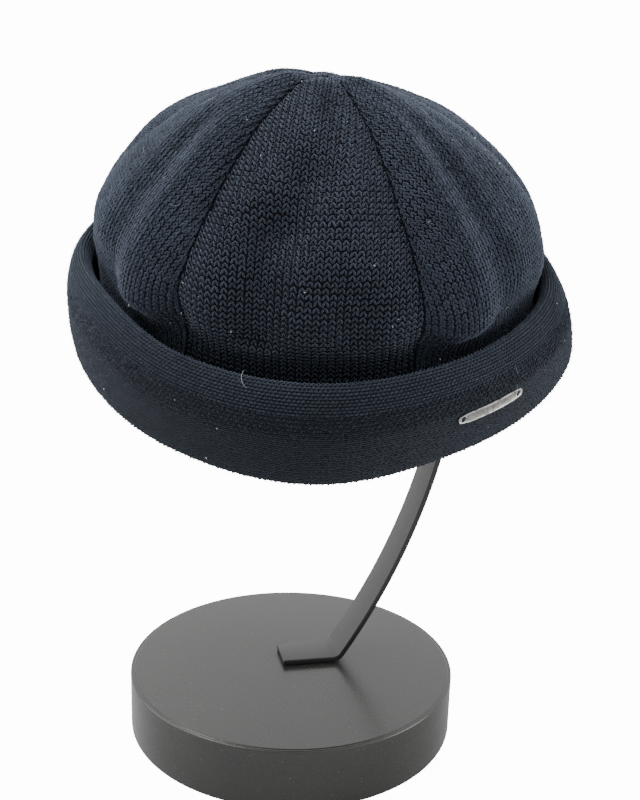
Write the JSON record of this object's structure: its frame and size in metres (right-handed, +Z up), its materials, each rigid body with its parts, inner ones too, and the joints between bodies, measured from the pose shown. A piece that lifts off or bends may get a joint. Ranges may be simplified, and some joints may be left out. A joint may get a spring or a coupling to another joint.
{
  "type": "sailor cap on a display stand",
  "caption": "Knitted brimless sailor cap with a rolled cuff and a small metal badge, held from inside by the bent bar of a round display stand.",
  "frame": {"origin": "centre of the round base's underside, on the surface it stands on", "axes": "+Z up, the cap's front faces -Y, +X to the right of someone who looks at the cap's front"},
  "size_m": [0.2145, 0.2052, 0.2909],
  "materials": {
    "crown_knit": "matte navy wool knit",
    "cuff_knit": "matte navy wool knit, fine ribbed rows",
    "badge_metal": "satin",
    "stand_paint": "satin dark grey",
    "arm_paint": "satin dark grey",
    "rest_board": "matte dark grey"
  },
  "bodies": {
    "root": {"crown": "crown_knit", "cuff": "cuff_knit", "badge": "badge_metal", "stand_base": "stand_paint", "stand_arm": "arm_paint", "head_rest": "rest_board"}
  },
  "joints": []
}
